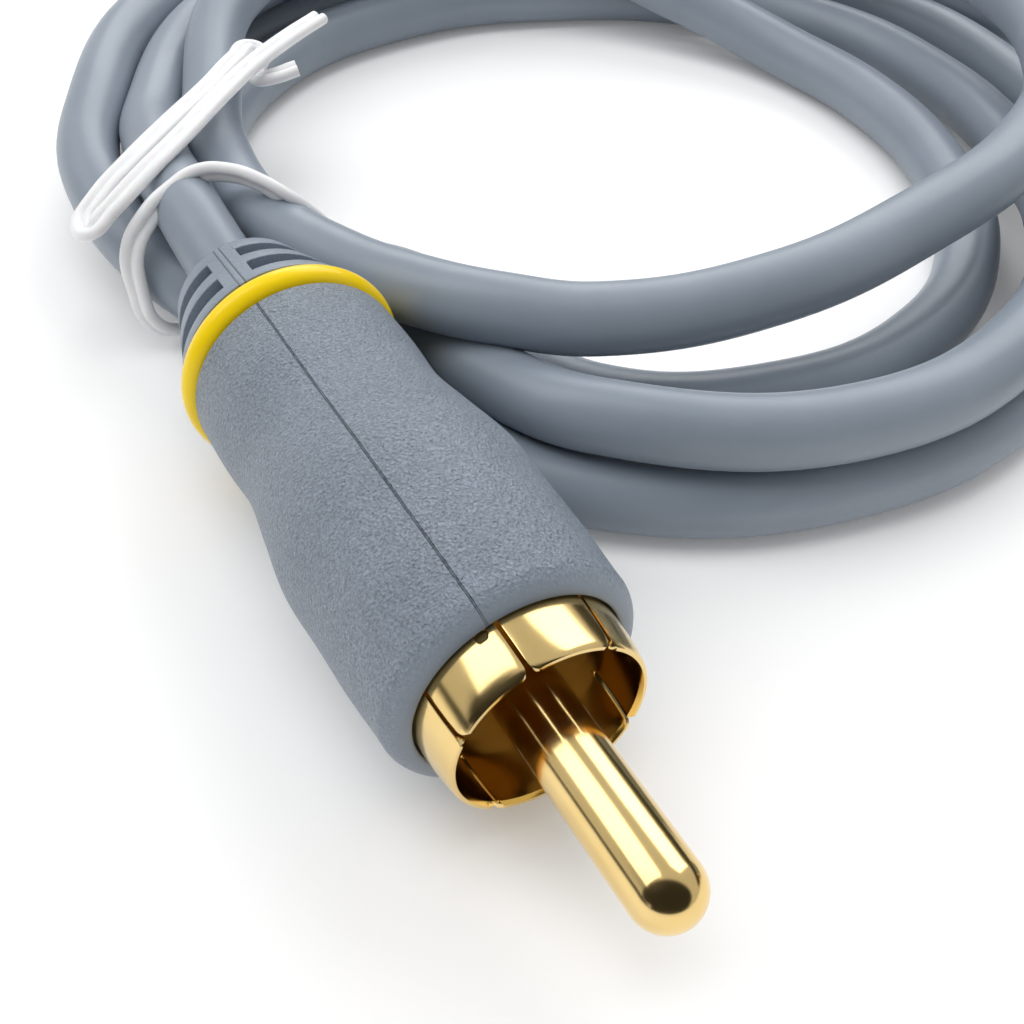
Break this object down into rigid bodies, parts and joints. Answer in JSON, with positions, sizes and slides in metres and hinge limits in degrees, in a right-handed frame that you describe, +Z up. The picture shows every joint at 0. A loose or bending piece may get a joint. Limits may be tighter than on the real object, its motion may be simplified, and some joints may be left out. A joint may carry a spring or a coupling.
{
  "type": "composite video cable",
  "caption": "Coiled coaxial video cable held by a twist tie, with a moulded phono plug at each end and a colour ring on each plug.",
  "frame": {"origin": "on the surface that the cable lies on, under the middle of the box round the whole cable as it lies", "axes": "+Z up from the surface; +X to the right and +Y away as the picture sees the coil, with the front plug pointing to the lower right"},
  "size_m": [0.0948, 0.0938, 0.0127],
  "materials": {
    "gold_plate": "polished",
    "natural_nylon": "satin",
    "copper": "bright",
    "polythene": "satin",
    "tinned_braid": "satin",
    "grey_pvc": "satin, with a fine grain on the grips",
    "yellow_pvc": "glossy",
    "white_tie": "satin"
  },
  "bodies": {
    "root": {"cable_coil": "grey_pvc", "cable_lead": "grey_pvc", "cable_tail": "grey_pvc", "twist_tie": "white_tie", "centre_pin_front": "gold_plate", "contact_shell_front": "gold_plate", "insulator_front": "natural_nylon", "conductor_front": "copper", "dielectric_front": "polythene", "screen_front": "tinned_braid", "grip_front": "grey_pvc", "colour_ring_front": "yellow_pvc", "centre_pin_side": "gold_plate", "contact_shell_side": "gold_plate", "insulator_side": "natural_nylon", "conductor_side": "copper", "dielectric_side": "polythene", "screen_side": "tinned_braid", "grip_side": "grey_pvc", "colour_ring_side": "yellow_pvc"}
  },
  "joints": []
}
